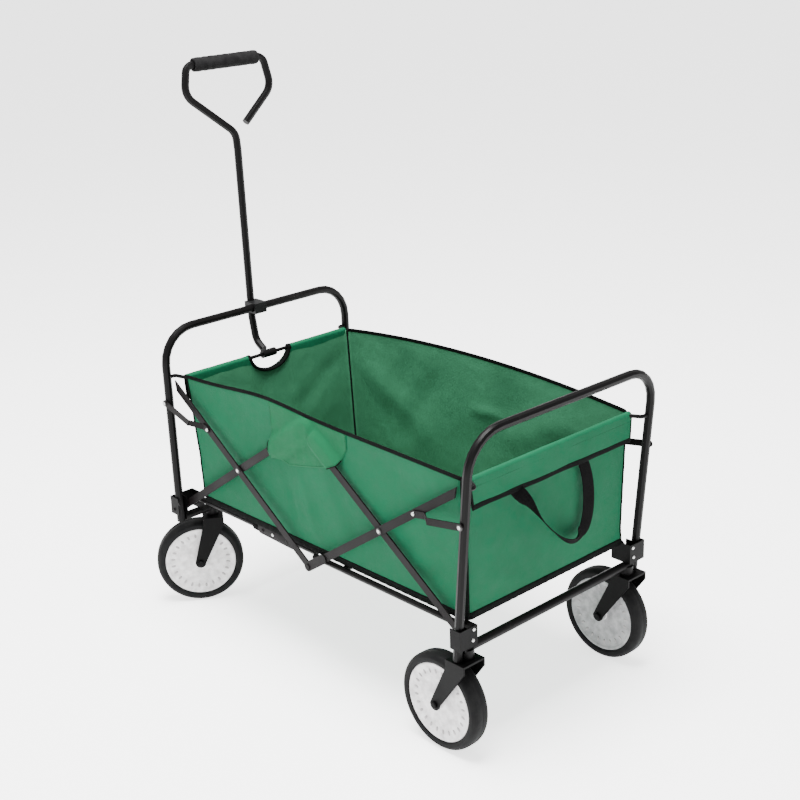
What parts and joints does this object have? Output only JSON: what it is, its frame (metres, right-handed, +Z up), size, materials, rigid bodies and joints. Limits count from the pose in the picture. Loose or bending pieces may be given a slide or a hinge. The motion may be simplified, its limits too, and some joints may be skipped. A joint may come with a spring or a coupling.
{
  "type": "folding camp wagon",
  "caption": "Folding camp wagon with a fabric basket on a scissor frame, looped tube end frames, a swinging pull handle, swivel front casters and fixed rear wheels.",
  "frame": {"origin": "on the ground under the middle of the wagon's overall box, wheels on z = 0, open as used", "axes": "+X towards the handle end, +Y to the wagon's left, +Z up"},
  "size_m": [0.9401, 0.5396, 1.1355],
  "materials": {
    "frame": "satin black powder coat on steel tube and strip",
    "fasteners": "bright zinc plate",
    "basket_fabric": "green coated polyester canvas",
    "webbing": "black woven polyester webbing",
    "tyres": "smooth matt black rubber",
    "wheel_discs": "off-white moulded plastic",
    "grip_foam": "black closed-cell foam",
    "clip_plastic": "black moulded plastic"
  },
  "bodies": {
    "rear_frame": {"rear_hoop": "frame", "rear_crossbar": "frame", "rear_rim_rod": "frame", "basket": "basket_fabric", "carry_strap": "webbing", "rear_left_bracket": "frame", "rear_right_bracket": "frame", "rear_left_link_bolt": "fasteners", "rear_right_link_bolt": "fasteners", "rear_left_fork": "frame", "rear_right_fork": "frame", "rear_left_axle": "fasteners", "rear_right_axle": "fasteners"},
    "rear_lower_bars": {"rear_left_lower_bar": "frame", "rear_right_lower_bar": "frame", "rear_left_cross_rivet": "fasteners", "rear_right_cross_rivet": "fasteners"},
    "rear_upper_bars": {"rear_left_upper_bar": "frame", "rear_right_upper_bar": "frame", "left_bottom_hinge": "frame", "right_bottom_hinge": "frame"},
    "front_upper_bars": {"front_left_upper_bar": "frame", "front_right_upper_bar": "frame"},
    "front_lower_bars": {"front_left_lower_bar": "frame", "front_right_lower_bar": "frame", "front_left_cross_rivet": "fasteners", "front_right_cross_rivet": "fasteners"},
    "front_frame": {"front_hoop": "frame", "front_crossbar": "frame", "front_rim_rod": "frame", "handle_clip": "clip_plastic", "front_left_bracket": "frame", "front_right_bracket": "frame", "front_left_link_bolt": "fasteners", "front_right_link_bolt": "fasteners"},
    "rear_links": {"rear_left_link": "frame", "rear_right_link": "frame"},
    "front_links": {"front_left_link": "frame", "front_right_link": "frame"},
    "rear_floor": {"rear_left_floor_rail": "frame", "rear_right_floor_rail": "frame", "rear_floor_cross_tube": "frame"},
    "front_floor": {"front_left_floor_rail": "frame", "front_right_floor_rail": "frame", "front_floor_cross_tube": "frame"},
    "handle": {"handle_hinge_sleeve": "frame", "handle_tube": "frame", "handle_grip": "grip_foam"},
    "front_left_caster": {"front_left_fork": "frame", "front_left_axle": "fasteners"},
    "front_right_caster": {"front_right_fork": "frame", "front_right_axle": "fasteners"},
    "front_left_wheel": {"front_left_tyre": "tyres", "front_left_rim": "wheel_discs"},
    "front_right_wheel": {"front_right_tyre": "tyres", "front_right_rim": "wheel_discs"},
    "rear_left_wheel": {"rear_left_tyre": "tyres", "rear_left_rim": "wheel_discs"},
    "rear_right_wheel": {"rear_right_tyre": "tyres", "rear_right_rim": "wheel_discs"}
  },
  "joints": [
    {"name": "fold", "type": "hinge", "parent": "rear_frame", "child": "rear_lower_bars", "pos_m": [-0.4294, 0, 0.232], "axis": [0, -1, 0], "range_deg": [0, 42], "deforming": ["basket"]},
    {"name": "rear_crossing", "type": "hinge", "parent": "rear_lower_bars", "child": "rear_upper_bars", "pos_m": [-0.2244, 0, 0.3715], "axis": [0, -1, 0], "range_deg": [-84, 0]},
    {"name": "bottom_hinge", "type": "hinge", "parent": "rear_upper_bars", "child": "front_upper_bars", "pos_m": [-0.0194, 0, 0.232], "axis": [0, -1, 0], "range_deg": [0, 84]},
    {"name": "front_crossing", "type": "hinge", "parent": "front_upper_bars", "child": "front_lower_bars", "pos_m": [0.1856, 0, 0.3715], "axis": [0, -1, 0], "range_deg": [-84, 0]},
    {"name": "front_pivot", "type": "hinge", "parent": "front_lower_bars", "child": "front_frame", "pos_m": [0.3906, 0, 0.232], "axis": [0, -1, 0], "range_deg": [0, 42]},
    {"name": "rear_link_swing", "type": "hinge", "parent": "rear_frame", "child": "rear_links", "pos_m": [-0.4481, 0, 0.4569], "axis": [0, -1, 0], "range_deg": [0, 77.37]},
    {"name": "front_link_swing", "type": "hinge", "parent": "front_frame", "child": "front_links", "pos_m": [0.3894, 0, 0.4678], "axis": [0, -1, 0], "range_deg": [-91.28, 0]},
    {"name": "rear_floor_fold", "type": "hinge", "parent": "rear_frame", "child": "rear_floor", "pos_m": [-0.4074, 0, 0.25], "axis": [0, -1, 0], "range_deg": [0, 75.69]},
    {"name": "front_floor_fold", "type": "hinge", "parent": "front_frame", "child": "front_floor", "pos_m": [0.3686, 0, 0.25], "axis": [0, -1, 0], "range_deg": [-75.69, 0]},
    {"name": "handle_swing", "type": "hinge", "parent": "front_frame", "child": "handle", "pos_m": [0.3636, 0, 0.52], "axis": [0, 1, 0], "range_deg": [0, 95]},
    {"name": "front_left_swivel", "type": "hinge", "parent": "front_frame", "child": "front_left_caster", "pos_m": [0.3866, 0.159, 0.19], "axis": [0, 0, 1], "continuous": true},
    {"name": "front_right_swivel", "type": "hinge", "parent": "front_frame", "child": "front_right_caster", "pos_m": [0.3866, -0.159, 0.19], "axis": [0, 0, 1], "continuous": true},
    {"name": "front_left_roll", "type": "hinge", "parent": "front_left_caster", "child": "front_left_wheel", "pos_m": [0.40524, 0.18623, 0.092], "axis": [-0.8251, 0.565, 0], "continuous": true},
    {"name": "front_right_roll", "type": "hinge", "parent": "front_right_caster", "child": "front_right_wheel", "pos_m": [0.40524, -0.18623, 0.092], "axis": [0.8251, 0.565, 0], "continuous": true},
    {"name": "rear_left_roll", "type": "hinge", "parent": "rear_frame", "child": "rear_left_wheel", "pos_m": [-0.3764, 0.2235, 0.092], "axis": [0, 1, 0], "continuous": true},
    {"name": "rear_right_roll", "type": "hinge", "parent": "rear_frame", "child": "rear_right_wheel", "pos_m": [-0.3764, -0.2235, 0.092], "axis": [0, 1, 0], "continuous": true}
  ],
  "couplings": [
    {"joint": "rear_crossing", "follows": "fold", "ratio": -2},
    {"joint": "bottom_hinge", "follows": "fold", "ratio": 2},
    {"joint": "front_crossing", "follows": "fold", "ratio": -2},
    {"joint": "front_pivot", "follows": "fold", "ratio": 1},
    {"joint": "rear_link_swing", "follows": "fold", "ratio": 1.8418},
    {"joint": "front_link_swing", "follows": "fold", "ratio": -2.173},
    {"joint": "rear_floor_fold", "follows": "fold", "ratio": 1.8018},
    {"joint": "front_floor_fold", "follows": "fold", "ratio": -1.8018}
  ]
}
